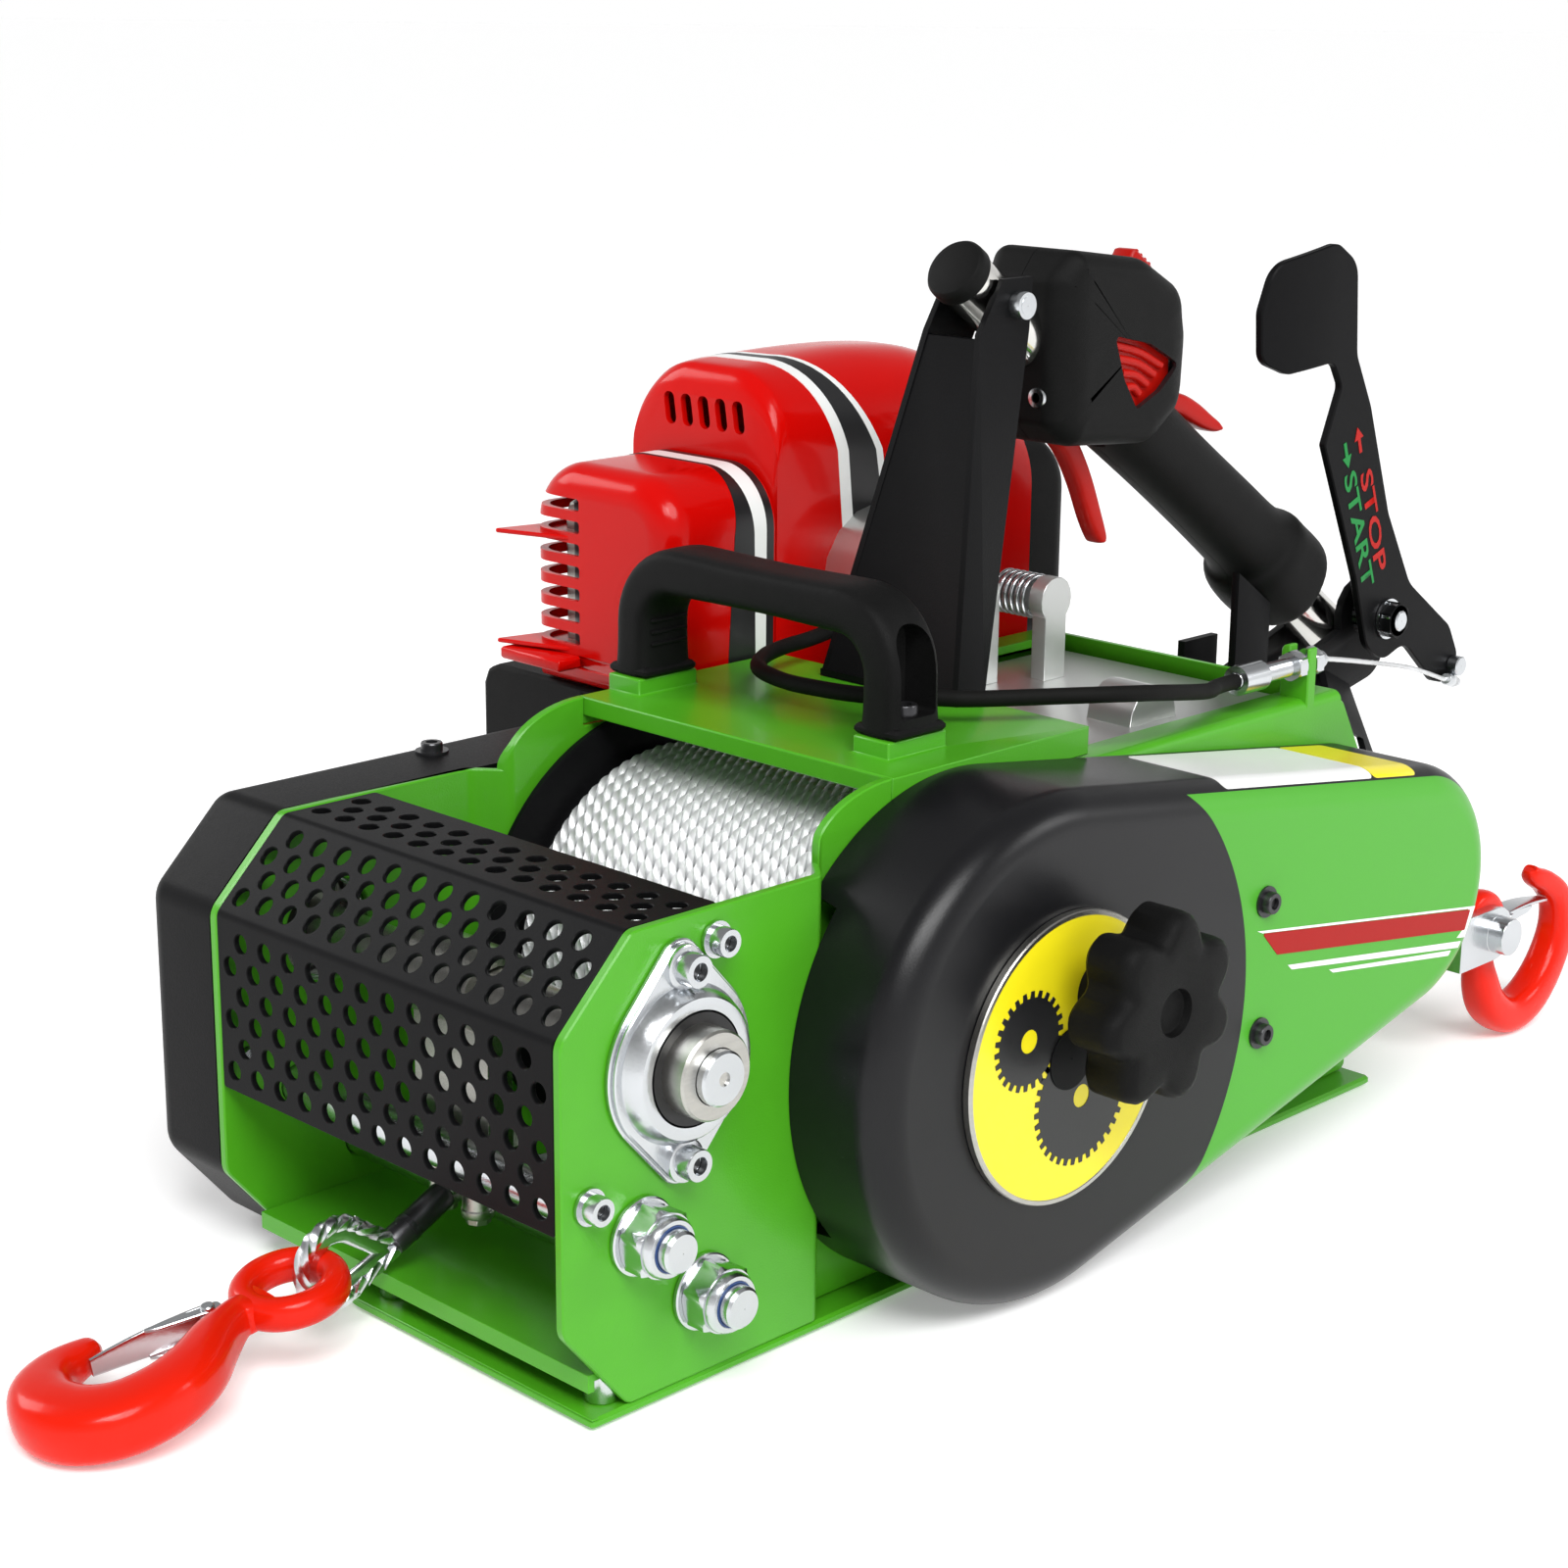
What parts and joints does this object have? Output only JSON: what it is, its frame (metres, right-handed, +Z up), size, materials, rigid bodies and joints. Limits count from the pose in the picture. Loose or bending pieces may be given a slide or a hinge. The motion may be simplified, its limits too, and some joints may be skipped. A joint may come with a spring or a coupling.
{
  "type": "portable engine winch",
  "caption": "Portable engine-driven wire rope winch: drum in a folded steel frame, level wind, handle tube with throttle grip, clutch lever and anchor hook.",
  "frame": {"origin": "centre of the underside of the base tray", "axes": "+Z up, +X from the rope outlet towards the anchor hook, +Y from the belt cover towards the engine"},
  "size_m": [0.8089, 0.4166, 0.3901],
  "materials": {
    "frame_green": "gloss powder coat",
    "black_metal": "satin",
    "steel": "bare, lightly oiled",
    "rope_steel": "galvanised strands",
    "zinc": "zinc plated",
    "hook_red": "gloss",
    "black_plastic": "fine texture",
    "red_plastic": "gloss",
    "cast_aluminium": "cast",
    "yellow_metal": "satin"
  },
  "bodies": {
    "frame": {"base_tray": "frame_green", "floor_plate": "frame_green", "right_side_plate": "frame_green", "left_side_plate": "frame_green", "rear_plate": "frame_green", "top_plate": "frame_green", "belt_cover": "black_metal", "far_cover": "black_metal", "rope_guard": "black_metal", "front_stand": "black_metal", "rear_bracket": "black_metal", "drive_chain": "steel", "feed_chain": "steel", "handle_tube": "steel", "muffler": "steel", "bearing_housing_near": "zinc", "bearing_housing_far": "zinc", "cross_bolt_upper": "zinc", "cross_bolt_lower": "zinc", "anchor_clevis": "zinc", "stand_bolt": "zinc", "adjuster_barrel": "zinc", "cable_wire": "zinc", "tension_spring": "zinc", "carry_handle": "black_plastic", "tube_cap": "black_plastic", "grip_shell_near": "black_plastic", "grip_shell_far": "black_plastic", "cable_sheath": "black_plastic", "fuel_tank": "black_plastic", "air_filter_cover": "black_plastic", "starter_housing": "black_plastic", "muffler_cover": "red_plastic", "engine_shroud": "red_plastic", "gearbox_housing": "cast_aluminium", "engine_block": "cast_aluminium"},
    "drum": {"drum": "black_metal", "rope_winding": "rope_steel", "drum_shaft": "steel"},
    "drive": {"drive_sprocket": "steel"},
    "feed": {"feed_shaft": "steel"},
    "carriage": {"guide_carriage": "steel", "rope_span": "rope_steel", "rope_eye": "rope_steel"},
    "roller_left": {"roller_left": "zinc"},
    "roller_right": {"roller_right": "zinc"},
    "rope_hook": {"rope_hook": "hook_red"},
    "hook_latch": {"hook_latch": "zinc"},
    "anchor_hook": {"anchor_hook": "hook_red"},
    "anchor_latch": {"anchor_latch": "zinc"},
    "selector_disc": {"selector_disc": "yellow_metal"},
    "selector_knob": {"selector_knob": "black_plastic"},
    "clutch_lever": {"clutch_lever": "black_metal"},
    "throttle_trigger": {"throttle_trigger": "red_plastic"},
    "throttle_lock": {"throttle_lock": "red_plastic"},
    "stop_switch": {"stop_switch": "red_plastic"},
    "half_throttle_button": {"half_throttle_button": "red_plastic"}
  },
  "joints": [
    {"name": "drum_spin", "type": "hinge", "parent": "frame", "child": "drum", "pos_m": [-0.043, 0, 0.102], "axis": [0, 1, 0], "continuous": true},
    {"name": "drive_spin", "type": "hinge", "parent": "frame", "child": "drive", "pos_m": [0.2, -0.102, 0.112], "axis": [0, 1, 0], "continuous": true},
    {"name": "feed_spin", "type": "hinge", "parent": "frame", "child": "feed", "pos_m": [-0.2, 0, 0.129], "axis": [0, 1, 0], "continuous": true},
    {"name": "guide_slide", "type": "slide", "parent": "frame", "child": "carriage", "axis": [0, 1, 0], "range_m": [-0.085, 0.055]},
    {"name": "roller_left_spin", "type": "hinge", "parent": "carriage", "child": "roller_left", "pos_m": [-0.2022, 0.026, 0.0475], "axis": [0, 0, 1], "continuous": true},
    {"name": "roller_right_spin", "type": "hinge", "parent": "carriage", "child": "roller_right", "pos_m": [-0.2022, 0.006, 0.0475], "axis": [0, 0, 1], "continuous": true},
    {"name": "rope_hook_swing", "type": "hinge", "parent": "carriage", "child": "rope_hook", "pos_m": [-0.262, 0.016, 0.033], "axis": [0, 1, 0], "range_deg": [-45, 75]},
    {"name": "hook_latch_open", "type": "hinge", "parent": "rope_hook", "child": "hook_latch", "pos_m": [-0.3128, 0.0243, 0.0242], "axis": [-0.1712, 0, 0.9852], "range_deg": [0, 25], "stiffness_Nm_per_rad": 0.05, "springref_deg": -17.19},
    {"name": "anchor_hook_swing", "type": "hinge", "parent": "frame", "child": "anchor_hook", "pos_m": [0.317, -0.106, 0.06], "axis": [0, -1, 0], "range_deg": [0, 60]},
    {"name": "anchor_latch_open", "type": "hinge", "parent": "anchor_hook", "child": "anchor_latch", "pos_m": [0.337, -0.106, 0.0635], "axis": [0, 1, 0], "range_deg": [0, 35], "stiffness_Nm_per_rad": 0.05, "springref_deg": -17.19},
    {"name": "selector_turn", "type": "hinge", "parent": "frame", "child": "selector_disc", "pos_m": [-0.043, -0.1498, 0.102], "axis": [0, 1, 0], "range_deg": [0, 60]},
    {"name": "selector_pull", "type": "slide", "parent": "selector_disc", "child": "selector_knob", "axis": [0, -1, 0], "range_m": [0, 0.008], "stiffness_N_per_m": 500, "springref_m": -0.004},
    {"name": "clutch_lever_turn", "type": "hinge", "parent": "frame", "child": "clutch_lever", "pos_m": [0.348, -0.023, 0.193], "axis": [0, -1, 0], "range_deg": [0, 25]},
    {"name": "throttle_squeeze", "type": "hinge", "parent": "frame", "child": "throttle_trigger", "pos_m": [0.12, 0.006, 0.309], "axis": [0, -1, 0], "range_deg": [0, 12], "stiffness_Nm_per_rad": 0.3, "springref_deg": -11.46},
    {"name": "throttle_lock_press", "type": "hinge", "parent": "frame", "child": "throttle_lock", "pos_m": [0.1987, 0.006, 0.3081], "axis": [0, 1, 0], "range_deg": [0, 5], "stiffness_Nm_per_rad": 0.3, "springref_deg": -8.59},
    {"name": "stop_switch_slide", "type": "slide", "parent": "frame", "child": "stop_switch", "axis": [1, 0, 0], "range_m": [-0.003, 0.003]},
    {"name": "half_throttle_press", "type": "slide", "parent": "frame", "child": "half_throttle_button", "axis": [0, 0, -1], "range_m": [0, 0.003], "stiffness_N_per_m": 300, "springref_m": -0.002}
  ],
  "couplings": [
    {"joint": "drive_spin", "follows": "drum_spin", "ratio": 3},
    {"joint": "feed_spin", "follows": "drum_spin", "ratio": 0.66667}
  ]
}
